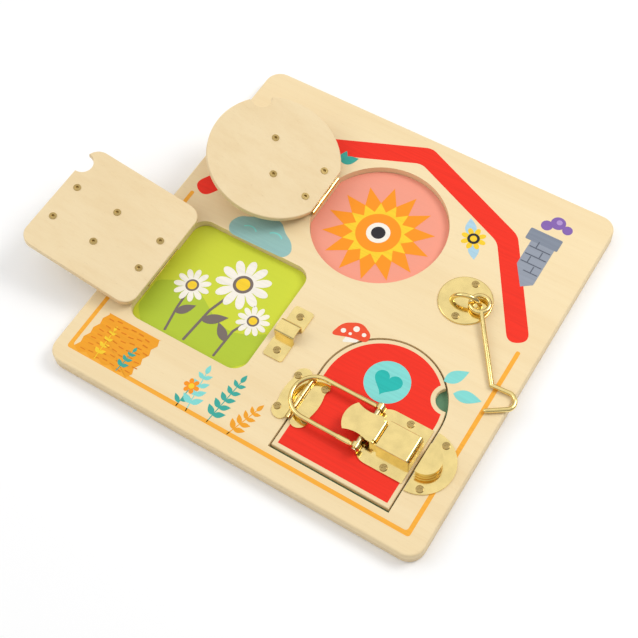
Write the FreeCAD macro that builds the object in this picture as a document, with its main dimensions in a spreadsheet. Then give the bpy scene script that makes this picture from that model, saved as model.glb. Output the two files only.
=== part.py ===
import FreeCAD, Part
import math
import os

from FreeCAD import Placement, Rotation, Vector

# Wooden busy board: a 300 mm square board with three hinged doors, a barrel bolt,
# a cabin hook and a toggle latch. Millimetres, +Z up, origin on the underside at the
# board's centre, +X along the front edge and +Y towards the back.

doc = FreeCAD.newDocument("busy_board")
sheet = doc.addObject("Spreadsheet::Sheet", "dims")

DIMENSIONS = [
    # board
    ("board_side", 300), ("board_thick", 12), ("board_corner", 12), ("edge_round", 1.6),
    ("back_thick", 6), ("card_thick", 0.4), ("door_thick", 5), ("door_edge_round", 0.8),
    # square door and its recess
    ("square_x", -71.2), ("square_y", -46.4), ("square_long", 99), ("square_wide", 95.4),
    ("square_corner", 11.5), ("square_gap", 0.8), ("square_axis_x", -118.6),
    ("square_open_angle", 169),
    ("square_fittings_y", -50.4), ("square_notch_y", -16), ("notch_radius", 8.5),
    # round door and its recess
    ("round_x", -1.4), ("round_y", 62.3), ("round_radius", 51.6), ("round_gap", 0.8),
    ("round_axis_x", -48.5), ("round_notch_angle", 45), ("round_open_angle", 163),
    # barn door and its recess
    ("barn_x", 71.3), ("barn_wide", 93.4), ("barn_foot_y", -129.8), ("barn_spring_y", -61),
    ("barn_gap", 1.2), ("barn_foot_gap", 2.3), ("barn_notch_angle", 28.2),
    ("barn_notch_radius", 9), ("barn_axis_x", 25.25), ("barn_hinge_y", -88.5),
    # sheet metal, hinges and fasteners
    ("sheet_metal", 1), ("hinge_rise", 2.2),
    ("knuckle_radius", 2), ("hinge_pin_radius", 1), ("running_gap", 0.05),
    ("knuckle_pitch", 9), ("knuckle_gap", 0.3), ("leaf_reach", 14), ("leaf_half", 21),
    ("hinge_screw_reach", 11), ("hinge_screw_half", 13.4),
    ("head_radius", 2.8), ("head_rise", 0.7), ("shank_radius", 1.2),
    ("wood_screw_length", 9), ("door_screw_length", 5), ("sleeve_radius", 1.7),
    ("nut_flange_radius", 2.8), ("nut_flange_thick", 0.4),
    # slide bolt and keeper
    ("bolt_plate_x", -50.7), ("bolt_plate_long", 46), ("bolt_plate_wide", 38),
    ("bolt_radius", 3.2), ("bolt_height", 4.9), ("bolt_tail_x", -98), ("bolt_tip_x", -23.3),
    ("bolt_screw_reach", 17.9), ("bolt_screw_half", 14.6), ("guide_reach", 15.5),
    ("guide_long", 8), ("guide_metal", 1.3), ("knob_x", -60.1), ("knob_radius", 3.9),
    ("knob_rise", 13.7), ("stem_radius", 1.8),
    ("keeper_x", -9.2), ("keeper_wide", 15.5), ("keeper_long", 44.5), ("keeper_tunnel", 10),
    ("keeper_rise", 9.4), ("keeper_metal", 1), ("keeper_curve", 3), ("keeper_screw_half", 15.3),
    # hook, its plate and the eye on the round door
    ("rosette_x", 84.8), ("rosette_y", 35.6), ("rosette_radius", 19.8),
    ("rosette_thick", 1.4), ("rosette_screw_half", 15), ("wire_radius", 1.7),
    ("staple_x", 86), ("staple_y", 33.5), ("staple_half", 10.3), ("staple_rise", 13),
    ("staple_angle", 14), ("hook_ring_radius", 6.8), ("hook_ring_height", 4.8),
    ("hook_low_height", 2.1),
    ("eye_x", -0.9), ("eye_y", 62.6), ("eye_rise", 18.3), ("eye_screw_half", 15.2), ("eye_turn", 150),
    # toggle latch and catch
    ("latch_y", -86.4), ("latch_plate_half", 21.9), ("latch_left_x", 74),
    ("latch_right_x", 115), ("latch_screw_x", 99.5), ("latch_screw_half", 18.2),
    ("box_left_x", 89), ("box_right_x", 114), ("box_half", 10.5), ("box_rise", 10),
    ("cheek_half", 8.5), ("cheek_radius", 1.9), ("lever_axis_x", 85.2),
    ("lever_axis_rise", 6.6), ("lever_left_x", 58.9), ("lever_metal", 1.2),
    ("lever_barrel_half", 7.5), ("lever_flange_half", 8.2),
    ("bail_axis_x", 77), ("bail_axis_rise", 6.1), ("bail_half", 16.2),
    ("bail_end_x", 18.6), ("bail_wire_radius", 1.7), ("bail_eye_radius", 3.7),
    ("bush_radius", 2), ("bush_inner", 9.2), ("bush_outer", 18.4),
    ("catch_y", -87.8), ("catch_x", 121.8), ("catch_flat_x", 119.5), ("catch_radius", 11.4),
    ("catch_rise", 9), ("catch_lip", 0.9), ("catch_plate_x", 118.8),
    ("catch_plate_radius", 23.6), ("catch_screw_x", 127.5), ("catch_screw_half", 17.9),
]
for row, (alias, value) in enumerate(DIMENSIONS, start=1):
    sheet.set(f"A{row}", str(value))
    sheet.setAlias(f"A{row}", alias)
doc.recompute()

finished = []


def dim(alias):
    return float(sheet.get(alias))


def bind(obj, **sizes):
    """Binds each named property to an expression in the sheet's aliases."""
    for prop, expression in sizes.items():
        obj.setExpression(prop.replace("__", "."), in_sheet(expression))


def in_sheet(expression):
    names = sorted((alias for alias, _ in DIMENSIONS), key=len, reverse=True)
    words = []
    for token in expression.replace("(", " ( ").replace(")", " ) ").split():
        words.append(f"dims.{token}" if token in names else token)
    return " ".join(words)


def box(x, y, z, long, wide, high):
    """A block from its low corner and its three sizes, all expressions."""
    obj = doc.addObject("Part::Box", "block")
    bind(obj, Length=long, Width=wide, Height=high)
    bind(obj, Placement__Base__x=x, Placement__Base__y=y, Placement__Base__z=z)
    return obj


def rod(x, y, z, radius, high, axis=Vector(0, 0, 1)):
    """A round bar that starts at a point and runs along an axis."""
    obj = doc.addObject("Part::Cylinder", "rod")
    obj.Placement.Rotation = Rotation(Vector(0, 0, 1), axis)
    bind(obj, Radius=radius, Height=high)
    bind(obj, Placement__Base__x=x, Placement__Base__y=y, Placement__Base__z=z)
    return obj


def fuse(*pieces):
    obj = doc.addObject("Part::MultiFuse", "joined")
    obj.Shapes = list(pieces)
    obj.Refine = True
    return obj


def group(*pieces):
    """Several separate solids kept in one sub-part."""
    obj = doc.addObject("Part::Compound", "group")
    obj.Links = list(pieces)
    return obj


def cut(base, *tools):
    obj = doc.addObject("Part::Cut", "cut")
    obj.Base = base
    obj.Tool = tools[0] if len(tools) == 1 else fuse(*tools)
    obj.Refine = True
    return obj


def rounded(base, radius, chosen):
    """Rounds the edges that the test picks."""
    doc.recompute()
    obj = doc.addObject("Part::Fillet", "rounded")
    obj.Base = base
    edges = enumerate(base.Shape.Edges, start=1)
    obj.Edges = [(n, radius, radius) for n, edge in edges if chosen(edge)]
    return obj


def plate(outline, z, thick):
    """A flat plate: a sketch of lines and arcs, padded upwards by a bound length."""
    body = doc.addObject("PartDesign::Body", "plate")
    sketch = body.newObject("Sketcher::SketchObject", "outline")
    base_plane = [f for f in body.Origin.OriginFeatures if f.Role == "XY_Plane"][0]
    sketch.AttachmentSupport = [(base_plane, "")]
    sketch.MapMode = "FlatFace"
    for edge in outline:
        sketch.addGeometry(edge, False)
    pad = body.newObject("PartDesign::Pad", "pad")
    pad.Profile = sketch
    bind(pad, Length=thick)
    bind(body, Placement__Base__z=z)
    return body


def sweep_wire(edges, radius):
    """A round wire of one radius along lines and arcs that meet smoothly."""
    path = Part.Wire(edges)
    start = path.OrderedVertexes[0].Point
    first = path.OrderedEdges[0]
    heading = first.tangentAt(first.FirstParameter)
    if (first.valueAt(first.FirstParameter) - start).Length > 1e-6:
        heading = first.tangentAt(first.LastParameter) * -1
    ring = Part.Wire(Part.Circle(start, heading, radius).toShape())
    return path.makePipeShell([ring], True, True)


def shaped(shape):
    obj = doc.addObject("Part::Feature", "shaped")
    obj.Shape = shape
    return obj


def line(a, b):
    return Part.LineSegment(Vector(*a), Vector(*b))


def arc(a, b, c):
    return Part.Arc(Vector(*a), Vector(*b), Vector(*c))


def closed_wire(curves):
    """One wire from curves given in any order."""
    return Part.Wire(Part.sortEdges([curve.toShape() for curve in curves])[0])


def on_circle(x, y, radius, degrees, z=0):
    angle = math.radians(degrees)
    return (x + radius * math.cos(angle), y + radius * math.sin(angle), z)


def round_rectangle(x, y, long, wide, radius):
    """Outline of a rectangle about a centre with rounded corners."""
    a, b = long / 2 - radius, wide / 2 - radius
    corners = [(x + a, y + b, 45), (x - a, y + b, 135), (x - a, y - b, 225), (x + a, y - b, 315)]
    outline = []
    for n, (cx, cy, middle) in enumerate(corners):
        start, halfway, end = (on_circle(cx, cy, radius, middle + d) for d in (-45, 0, 45))
        nx, ny, next_middle = corners[(n + 1) % 4]
        outline.append(arc(start, halfway, end))
        outline.append(line(end, on_circle(nx, ny, radius, next_middle - 45)))
    return outline


def finish(label, obj, swing=None):
    """Names a sub-part, and swings it about its hinge if it is shown open."""
    doc.recompute()
    obj.Label = label
    if swing is not None:
        obj.Placement = swing.multiply(obj.Placement)
    finished.append(obj)
    return obj


def swing_about(axis_x, angle):
    """The move from closed to open for a door hinged on a line along Y."""
    hinge_line = Vector(axis_x, 0, dim("board_thick") + dim("hinge_rise"))
    turn = Rotation(Vector(0, -1, 0), angle)
    return Placement(Vector(0, 0, 0), turn, hinge_line)


def lowered(edge, height):
    box_of_edge = edge.BoundBox
    return abs(box_of_edge.ZMax - height) < 1e-4 and abs(box_of_edge.ZMin - height) < 1e-4


# Outlines of the three recesses and doors

def square_outline(gap):
    long, wide = dim("square_long") - 2 * gap, dim("square_wide") - 2 * gap
    return round_rectangle(dim("square_x"), dim("square_y"), long, wide, dim("square_corner") - gap)


def round_outline(gap):
    x, y, radius = dim("round_x"), dim("round_y"), dim("round_radius") - gap
    flat = dim("round_axis_x") + gap
    half = math.sqrt(radius**2 - (x - flat) ** 2)
    low, high = (flat, y - half, 0), (flat, y + half, 0)
    return [line(high, low), arc(low, (x + radius, y, 0), high)]


def barn_outline(gap, foot_gap):
    x, half = dim("barn_x"), dim("barn_wide") / 2 - gap
    foot, spring = dim("barn_foot_y") + foot_gap, dim("barn_spring_y")
    return [
        line((x - half, foot, 0), (x + half, foot, 0)),
        line((x + half, foot, 0), (x + half, spring, 0)),
        arc((x + half, spring, 0), (x, spring + half, 0), (x - half, spring, 0)),
        line((x - half, spring, 0), (x - half, foot, 0)),
    ]


# Board

def screw_holes(places, z, radius, high):
    return [rod(f"{x:.4f}", f"{y:.4f}", z, radius, high) for x, y in places]


def board_screw_places():
    """Every screw that goes into the board itself."""
    places = []
    for axis_x, y in HINGES:
        for side in (-1, 1):
            places.append((axis_x - dim("hinge_screw_reach"), y + side * dim("hinge_screw_half")))
    return places + keeper_places() + rosette_places() + catch_places()


def keeper_places():
    return [(dim("keeper_x"), dim("square_fittings_y") + side * dim("keeper_screw_half")) for side in (-1, 1)]


def rosette_places():
    half = dim("rosette_screw_half")
    return [(dim("rosette_x"), dim("rosette_y") + side * half) for side in (-1, 1)]


def catch_places():
    half = dim("catch_screw_half")
    return [(dim("catch_screw_x"), dim("catch_y") + side * half) for side in (-1, 1)]


def front_panel():
    outline = round_rectangle(0, 0, dim("board_side"), dim("board_side"), dim("board_corner"))
    blank = plate(outline, "back_thick", "board_thick - back_thick")
    recesses = [
        plate(shape, "back_thick - 1", "board_thick")
        for shape in (square_outline(0), round_outline(0), barn_outline(0, 0))
    ]
    holes = screw_holes(board_screw_places(), "back_thick - 1", "shank_radius", "board_thick")
    panel = cut(blank, *recesses, *holes)
    half = dim("board_side") / 2
    top = dim("board_thick")

    def outer_top(edge):
        place = edge.BoundBox.Center
        return lowered(edge, top) and max(abs(place.x), abs(place.y)) > half - 6

    finish("front_panel", rounded(panel, dim("edge_round"), outer_top))


def back_panel():
    outline = round_rectangle(0, 0, dim("board_side"), dim("board_side"), dim("board_corner"))
    blank = plate(outline, "0", "back_thick")
    floor = "board_thick + sheet_metal - wood_screw_length"
    panel = cut(blank, *screw_holes(board_screw_places(), floor, "shank_radius", "board_thick"))
    half = dim("board_side") / 2

    def outer_bottom(edge):
        place = edge.BoundBox.Center
        return lowered(edge, 0) and max(abs(place.x), abs(place.y)) > half - 6

    finish("back_panel", rounded(panel, dim("edge_round"), outer_bottom))


def picture_cards():
    """Thin printed floors glued in the recesses."""
    margin = 0.3
    finish("square_picture_card", plate(square_outline(margin), "back_thick", "card_thick"))
    finish("round_picture_card", plate(round_outline(margin), "back_thick", "card_thick"))
    finish("barn_picture_card", plate(barn_outline(margin, margin), "back_thick", "card_thick"))


# Hinges

def leaf_outline(axis_x, y, side):
    """One wing of a butterfly hinge: two round lobes joined by a scalloped edge."""
    reach, half = dim("leaf_reach"), dim("leaf_half")
    root, waist = dim("knuckle_radius") + 0.4, 2 * dim("knuckle_pitch")

    def at(u, v):
        return (axis_x + side * u, y + v, 0)

    return [
        line(at(root, -waist), at(root, waist)),
        arc(at(root, waist), at(root + 1.4, half - 1), at(root + 4, half)),
        arc(at(root + 4, half), at(reach - 1.6, half - 2.6), at(reach, half - 7)),
        arc(at(reach, half - 7), at(reach - 0.9, half - 9.5), at(reach - 1, half - 12)),
        arc(at(reach - 1, half - 12), at(reach + 0.2, 0), at(reach - 1, 12 - half)),
        arc(at(reach - 1, 12 - half), at(reach - 0.9, 9.5 - half), at(reach, 7 - half)),
        arc(at(reach, 7 - half), at(reach - 1.6, 2.6 - half), at(root + 4, -half)),
        arc(at(root + 4, -half), at(root + 1.4, 1 - half), at(root, -waist)),
    ]


def knuckle_starts(y, side):
    """Where a leaf's two knuckles begin: the board's and the door's take turns."""
    first = -2 if side < 0 else -1
    gap = dim("knuckle_gap") / 2
    return [y + n * dim("knuckle_pitch") + gap for n in (first, first + 2)]


def hinge_leaf(label, axis_x, y, side, swing=None):
    """side is -1 for the leaf on the board and +1 for the leaf on the door."""
    along = Vector(0, 1, 0)
    axis_z = "board_thick + hinge_rise"
    length = "knuckle_pitch - knuckle_gap"
    pieces = [plate(leaf_outline(axis_x, y, side), "board_thick", "sheet_metal")]
    tab_x = axis_x - dim("knuckle_radius") - 0.5 if side < 0 else axis_x
    for start in knuckle_starts(y, side):
        pieces.append(box(f"{tab_x:.4f}", f"{start:.4f}", "board_thick", "knuckle_radius + 0.5",
                          length, "sheet_metal"))
        pieces.append(rod(f"{axis_x:.4f}", f"{start:.4f}", axis_z, "knuckle_radius", length, along))
    bore = rod(f"{axis_x:.4f}", f"{y:.4f} - 3 * knuckle_pitch", axis_z,
               "hinge_pin_radius + running_gap", "6 * knuckle_pitch", along)
    places = hinge_screws(axis_x, y, side)
    holes = screw_holes(places, "board_thick - 1", "shank_radius", "sheet_metal + 2")
    finish(label, cut(fuse(*pieces), bore, *holes), swing)


def hinge_pin(label, axis_x, y):
    pin = rod(f"{axis_x:.4f}", f"{y:.4f} - 2 * knuckle_pitch - 0.3", "board_thick + hinge_rise",
              "hinge_pin_radius", "4 * knuckle_pitch + 0.6", Vector(0, 1, 0))
    finish(label, pin)


def hinge_screws(axis_x, y, side):
    reach, half = dim("hinge_screw_reach"), dim("hinge_screw_half")
    return [(axis_x + side * reach, y + end * half) for end in (-1, 1)]


# Fasteners

def screw(x, y, seat, length):
    """A low cross-head screw whose head sits on a plate at height seat."""
    head = rod(f"{x:.4f}", f"{y:.4f}", seat, "head_radius", "head_rise")
    shank = rod(f"{x:.4f}", f"{y:.4f}", f"{seat} - {length}", "shank_radius - 0.02",
                f"{length} + 0.1")
    doc.recompute()
    seat_height = head.Shape.BoundBox.ZMin

    def top_rim(edge):
        return edge.BoundBox.ZMin > seat_height + 0.1 and edge.BoundBox.ZLength < 1e-4

    domed = rounded(head, 0.8 * dim("head_rise"), top_rim)
    slots = [cross_slot(x, y, seat, turn) for turn in (45, 135)]
    return cut(fuse(domed, shank), *slots)


def cross_slot(x, y, seat, turn):
    """One arm of the cross in a screw's head."""
    half, wide = 0.55 * dim("head_radius"), 0.7
    corner = Vector(x, y, 0) + Rotation(Vector(0, 0, 1), turn).multVec(Vector(-half, -wide / 2, 0))
    slot = doc.addObject("Part::Box", "slot")
    slot.Placement.Rotation = Rotation(Vector(0, 0, 1), turn)
    bind(slot, Length=f"{2 * half:.4f}", Width=f"{wide}", Height="1")
    bind(slot, Placement__Base__x=f"{corner.x:.4f}", Placement__Base__y=f"{corner.y:.4f}",
         Placement__Base__z=f"{seat} + head_rise - 0.35")
    return slot


def screw_set(label, places, seat, length, swing=None):
    finish(label, group(*[screw(x, y, seat, length) for x, y in places]), swing)


def nut_set(label, places, swing=None):
    """Sleeve nuts let into the back of a door, each with a thin ring that shows."""
    nuts = []
    back = "board_thick - door_thick"
    for x, y in places:
        place = (f"{x:.4f}", f"{y:.4f}")
        flange = rod(*place, f"{back} - nut_flange_thick", "nut_flange_radius", "nut_flange_thick")
        sleeve = rod(*place, back, "sleeve_radius", "door_thick - 1")
        bore = rod(*place, f"{back} - 1", "shank_radius + 0.03", "door_thick + 1")
        nuts.append(cut(fuse(flange, sleeve), bore))
    finish(label, group(*nuts), swing)


# Doors

def door_panel(label, outline, notch, places, swing=None):
    blank = plate(outline, "board_thick - door_thick", "door_thick")
    holes = screw_holes(places, "board_thick - door_thick - 1", "sleeve_radius + 0.03",
                        "door_thick + 2")
    panel = cut(blank, notch, *holes)
    low, high = dim("board_thick") - dim("door_thick"), dim("board_thick")

    def rim(edge):
        flat = lowered(edge, low) or lowered(edge, high)
        return flat and max(edge.BoundBox.XLength, edge.BoundBox.YLength) > 4

    finish(label, rounded(panel, dim("door_edge_round"), rim), swing)


def notch_at(x, y, radius):
    return rod(f"{x:.4f}", f"{y:.4f}", "board_thick - door_thick - 1", radius, "door_thick + 2")


def square_door():
    swing = swing_about(SQUARE_HINGE[0], dim("square_open_angle"))
    leaf_places = hinge_screws(*SQUARE_HINGE, 1)
    places = leaf_places + bolt_plate_places()
    free_edge = dim("square_x") + dim("square_long") / 2 - dim("square_gap")
    notch = notch_at(free_edge, dim("square_notch_y"), "notch_radius")
    door_panel("square_door_panel", square_outline(dim("square_gap")), notch, places, swing)
    hinge_leaf("square_hinge_door_leaf", *SQUARE_HINGE, 1, swing)
    screw_set("square_door_screws", places, "board_thick + sheet_metal", "door_screw_length", swing)
    nut_set("square_door_nuts", places, swing)


def round_door():
    swing = swing_about(ROUND_HINGE[0], dim("round_open_angle"))
    leaf_places = hinge_screws(*ROUND_HINGE, 1)
    places = leaf_places + eye_places()
    x, y, _ = on_circle(dim("round_x"), dim("round_y"), dim("round_radius") - dim("round_gap"),
                        dim("round_notch_angle"))
    door_panel("round_door_panel", round_outline(dim("round_gap")),
               notch_at(x, y, "notch_radius"), places, swing)
    hinge_leaf("round_hinge_door_leaf", *ROUND_HINGE, 1, swing)
    screw_set("round_door_screws", places, "board_thick + sheet_metal", "door_screw_length", swing)
    nut_set("round_door_nuts", places, swing)
    eye_on_door(swing)


def barn_door():
    places = hinge_screws(*BARN_HINGE, 1) + latch_places()
    x, y, _ = on_circle(dim("barn_x"), dim("barn_spring_y"), dim("barn_wide") / 2,
                        dim("barn_notch_angle"))
    outline = barn_outline(dim("barn_gap"), dim("barn_foot_gap"))
    door_panel("barn_door_panel", outline, notch_at(x, y, "barn_notch_radius"), places)
    hinge_leaf("barn_hinge_door_leaf", *BARN_HINGE, 1)
    screw_set("barn_door_screws", places, "board_thick + sheet_metal", "door_screw_length")
    nut_set("barn_door_nuts", places)


# Slide bolt and keeper

def bolt_plate_places():
    reach, half = dim("bolt_screw_reach"), dim("bolt_screw_half")
    x, y = dim("bolt_plate_x"), dim("square_fittings_y")
    return [(x + a * reach, y + b * half) for a in (-1, 1) for b in (-1, 1)]


def bolt_plate():
    """Base plate with two arched guides that hold the bolt down."""
    x, y = dim("bolt_plate_x"), dim("square_fittings_y")
    outline = round_rectangle(x, y, dim("bolt_plate_long"), dim("bolt_plate_wide"), 3)
    pieces = [plate(outline, "board_thick", "sheet_metal")]
    along = Vector(1, 0, 0)
    for side in (-1, 1):
        start = f"bolt_plate_x + {side} * guide_reach - guide_long / 2"
        pieces.append(rod(start, "square_fittings_y", "board_thick + bolt_height",
                          "bolt_radius + guide_metal", "guide_long", along))
        pieces.append(box(start, "square_fittings_y - bolt_radius - guide_metal", "board_thick",
                          "guide_long", "2 * bolt_radius + 2 * guide_metal", "bolt_height"))
    bore = rod("bolt_plate_x - bolt_plate_long", "square_fittings_y", "board_thick + bolt_height",
               "bolt_radius + running_gap", "2 * bolt_plate_long", along)
    holes = screw_holes(bolt_plate_places(), "board_thick - 1", "shank_radius", "sheet_metal + 2")
    finish("bolt_plate", cut(fuse(*pieces), bore, *holes), swing_about(SQUARE_HINGE[0], dim("square_open_angle")))


def bolt_rod():
    return rod("bolt_tail_x", "square_fittings_y", "board_thick + bolt_height", "bolt_radius",
               "bolt_tip_x - bolt_tail_x", Vector(1, 0, 0))


def slide_bolt():
    swing = swing_about(SQUARE_HINGE[0], dim("square_open_angle"))
    bar = bolt_rod()
    ends = [dim("bolt_tail_x"), dim("bolt_tip_x")]

    def end_rims(edge):
        place = edge.BoundBox
        return place.XLength < 1e-4 and min(abs(place.Center.x - end) for end in ends) < 1e-3

    finish("bolt_bar", rounded(bar, 1.2, end_rims), swing)
    stem = rod("knob_x", "square_fittings_y", "board_thick + bolt_height", "stem_radius",
               "knob_rise - bolt_height")
    ball = doc.addObject("Part::Sphere", "ball")
    bind(ball, Radius="knob_radius", Placement__Base__x="knob_x",
         Placement__Base__y="square_fittings_y", Placement__Base__z="board_thick + knob_rise")
    finish("bolt_knob", cut(fuse(stem, ball), bolt_rod()), swing)


def strap_profile():
    """A flat strap that climbs over a tunnel: one line bent round, in the Y-Z plane."""
    metal, rise, foot = dim("keeper_metal"), dim("keeper_rise"), dim("keeper_long") / 2
    inner, outer = dim("keeper_tunnel") / 2, dim("keeper_tunnel") / 2 + metal
    under = bent_corners(inner, rise - metal, dim("keeper_curve") - metal)
    over = bent_corners(outer, rise, dim("keeper_curve"))
    right = [line((0, inner, 0), (0, foot, 0)), line((0, foot, 0), (0, foot, metal)),
             line((0, foot, metal), (0, outer, metal))]
    left = [line((0, -outer, metal), (0, -foot, metal)), line((0, -foot, metal), (0, -foot, 0)),
            line((0, -foot, 0), (0, -inner, 0))]
    legs = [line((0, side * outer, metal), (0, side * outer, rise - dim("keeper_curve")))
            for side in (-1, 1)]
    inner_legs = [line((0, side * inner, 0), (0, side * inner, rise - dim("keeper_curve")))
                  for side in (-1, 1)]
    return under + over + right + left + legs + inner_legs


def bent_corners(half, top, radius):
    """Two quarter bends and the flat between them."""
    near = radius * (1 - math.sqrt(0.5))
    curves = [line((0, radius - half, top), (0, half - radius, top))]
    for side in (-1, 1):
        curves.append(arc((0, side * half, top - radius),
                          (0, side * (half - near), top - near),
                          (0, side * (half - radius), top)))
    return curves


def bolt_keeper():
    """Strap keeper on the board that the bolt shoots into."""
    wide = dim("keeper_wide")
    face = Part.Face(closed_wire(strap_profile()))
    face.translate(Vector(dim("keeper_x") - wide / 2, dim("square_fittings_y"), dim("board_thick")))
    strap = shaped(face.extrude(Vector(wide, 0, 0)))
    holes = screw_holes(keeper_places(), "board_thick - 1", "shank_radius", "keeper_metal + 2")
    keeper = cut(strap, *holes)
    reach = dim("keeper_long") / 2

    def foot_corner(edge):
        tall = edge.BoundBox.ZLength > 0.5
        return tall and abs(abs(edge.BoundBox.Center.y - dim("square_fittings_y")) - reach) < 1e-3

    finish("bolt_keeper", rounded(keeper, 2, foot_corner))
    screw_set("keeper_screws", keeper_places(), "board_thick + keeper_metal",
              "wood_screw_length")


# Hook, rosette and eye

def round_plate(label, x, y, thick, feet, places, swing=None):
    """Round base plate with screw holes and two sockets for a staple's legs."""
    disc = rod(x, y, "board_thick", "rosette_radius", thick)
    doc.recompute()
    top = disc.Shape.BoundBox.ZMax
    dome = rounded(disc, 0.6 * (top - dim("board_thick")), lambda edge: lowered(edge, top))
    holes = screw_holes(places, "board_thick - 1", "shank_radius", f"{thick} + 2")
    sockets = screw_holes(feet, "board_thick - 1", "wire_radius", f"{thick} + 2")
    finish(label, cut(dome, *holes, *sockets), swing)


def staple_feet(x, y, direction):
    return [on_circle(x, y, side * dim("staple_half"), direction)[:2] for side in (-1, 1)]


def staple(label, feet, rise, swing=None):
    """Half-round arch of wire standing on its plate."""
    half, foot = dim("staple_half"), dim("board_thick") + 0.2
    spring = dim("board_thick") + rise - dim("wire_radius") - half
    left, right = (Vector(x, y, 0) for x, y in feet)
    up = Vector(0, 0, 1)
    path = [
        Part.LineSegment(left + up * foot, left + up * spring).toShape(),
        Part.Arc(left + up * spring, (left + right) * 0.5 + up * (spring + half),
                 right + up * spring).toShape(),
        Part.LineSegment(right + up * spring, right + up * foot).toShape(),
    ]
    finish(label, shaped(sweep_wire(path, dim("wire_radius"))), swing)


def hook_plate():
    feet = staple_feet(dim("staple_x"), dim("staple_y"), dim("staple_angle"))
    round_plate("hook_plate", "rosette_x", "rosette_y", "rosette_thick", feet, rosette_places())
    staple("hook_staple", feet, dim("staple_rise"))
    screw_set("hook_plate_screws", rosette_places(), "board_thick + rosette_thick",
              "wood_screw_length")


def swing_hook():
    """Ring round one leg of the staple, a straight shaft and a bent hook end."""
    radius = dim("wire_radius")
    ring_z = dim("board_thick") + dim("hook_ring_height")
    low_z = dim("board_thick") + dim("hook_low_height")
    x, y = staple_feet(dim("staple_x"), dim("staple_y"), dim("staple_angle"))[1]
    ring = Part.makeTorus(dim("hook_ring_radius"), radius, Vector(x, y, ring_z))
    start = Vector(x + 4, y - 5.5, ring_z)
    elbow, shoulder = Vector(132.5, -15.5, low_z), Vector(145.5, -14.6, low_z)
    crest, fall, tip = Vector(152, -19, low_z), Vector(151, -25.6, low_z), Vector(137.8, -34.6, low_z)
    pieces = [ring, Part.makeSphere(radius, elbow), Part.makeSphere(radius, tip)]
    for a, b in ((start, elbow), (elbow, shoulder), (fall, tip)):
        pieces.append(Part.makeCylinder(radius, (b - a).Length, a, b - a))
    pieces.append(sweep_wire([Part.Arc(shoulder, crest, fall).toShape()], radius))
    pieces += [Part.makeSphere(radius, corner) for corner in (shoulder, fall)]
    finish("swing_hook", shaped(pieces[0].multiFuse(pieces[1:]).removeSplitter()))


def eye_places():
    half = dim("eye_screw_half")
    return [on_circle(dim("eye_x"), dim("eye_y"), side * half, dim("eye_turn") - 90)[:2]
            for side in (-1, 1)]


def eye_on_door(swing):
    feet = staple_feet(dim("eye_x"), dim("eye_y"), dim("eye_turn"))
    round_plate("eye_plate", "eye_x", "eye_y", "sheet_metal", feet, eye_places(), swing)
    staple("eye_staple", feet, dim("eye_rise"), swing)


# Toggle latch and catch

def latch_places():
    half = dim("latch_screw_half")
    return [(dim("latch_screw_x"), dim("latch_y") + side * half) for side in (-1, 1)]


def latch_plate_outline():
    """Base flange with a round left end on each side."""
    left, right, half = dim("latch_left_x"), dim("latch_right_x"), dim("latch_plate_half")
    y, bend = dim("latch_y"), 13
    return [
        line((left + bend, y - half, 0), (right, y - half, 0)),
        line((right, y - half, 0), (right, y + half, 0)),
        line((right, y + half, 0), (left + bend, y + half, 0)),
        arc((left + bend, y + half, 0), (left + 3.6, y + half - 4, 0), (left, y + half - 13, 0)),
        line((left, y + half - 13, 0), (left, y - half + 13, 0)),
        arc((left, y - half + 13, 0), (left + 3.6, y - half + 4, 0), (left + bend, y - half, 0)),
    ]


def across(x, z, start, end, radius):
    """A round bar along Y at distances from the latch's middle line."""
    return rod(x, f"latch_y + {start}", f"board_thick + {z}", radius, f"{end} - ({start})",
               Vector(0, 1, 0))


def latch_box():
    """Raised box with its right end rolled down to the plate."""
    block = box("box_left_x", "latch_y - box_half", "board_thick",
                "box_right_x - box_left_x", "2 * box_half", "box_rise")
    right, top = dim("box_right_x"), dim("board_thick") + dim("box_rise")

    def rolled_end(edge):
        return lowered(edge, top) and abs(edge.BoundBox.XMin - right) < 1e-4

    def long_sides(edge):
        return lowered(edge, top) and edge.BoundBox.YLength < 1e-4 and edge.BoundBox.XLength > 5

    return rounded(rounded(block, 3.2, rolled_end), 0.9, long_sides)


def latch_base():
    """Flanged plate with the box and two cheeks for the lever's pivot."""
    pieces = [plate(latch_plate_outline(), "board_thick", "sheet_metal"), latch_box()]
    for side in (-1, 1):
        near = f"{side} * cheek_half - 0.6"
        pieces.append(across("lever_axis_x", "lever_axis_rise", near, f"{near} + 1.2",
                             "cheek_radius"))
        pieces.append(box("lever_axis_x - cheek_radius", f"latch_y + {near}", "board_thick",
                          "box_left_x - lever_axis_x + cheek_radius", "1.2", "lever_axis_rise"))
    bore = across("lever_axis_x", "lever_axis_rise", "0 - 30", "30", "hinge_pin_radius")
    holes = screw_holes(latch_places(), "board_thick - 1", "shank_radius", "sheet_metal + 2")
    finish("latch_base", cut(fuse(*pieces), bore, *holes))
    finish("lever_pin", across("lever_axis_x", "lever_axis_rise", "0 - cheek_half - 0.9",
                               "cheek_half + 0.9", "hinge_pin_radius"))


def lever_outline():
    """Round thumb end, drawn-in waist and square tail."""
    y, left, tail = dim("latch_y"), dim("lever_left_x"), dim("lever_axis_x")
    return [
        arc((left + 4.5, y + 11, 0), (left, y, 0), (left + 4.5, y - 11, 0)),
        arc((left + 4.5, y - 11, 0), (left + 13, y - 8.8, 0), (tail - 4, y - 10.2, 0)),
        line((tail - 4, y - 10.2, 0), (tail, y - 10.2, 0)),
        line((tail, y - 10.2, 0), (tail, y + 10.2, 0)),
        line((tail, y + 10.2, 0), (tail - 4, y + 10.2, 0)),
        arc((tail - 4, y + 10.2, 0), (left + 13, y + 8.8, 0), (left + 4.5, y + 11, 0)),
    ]


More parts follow.
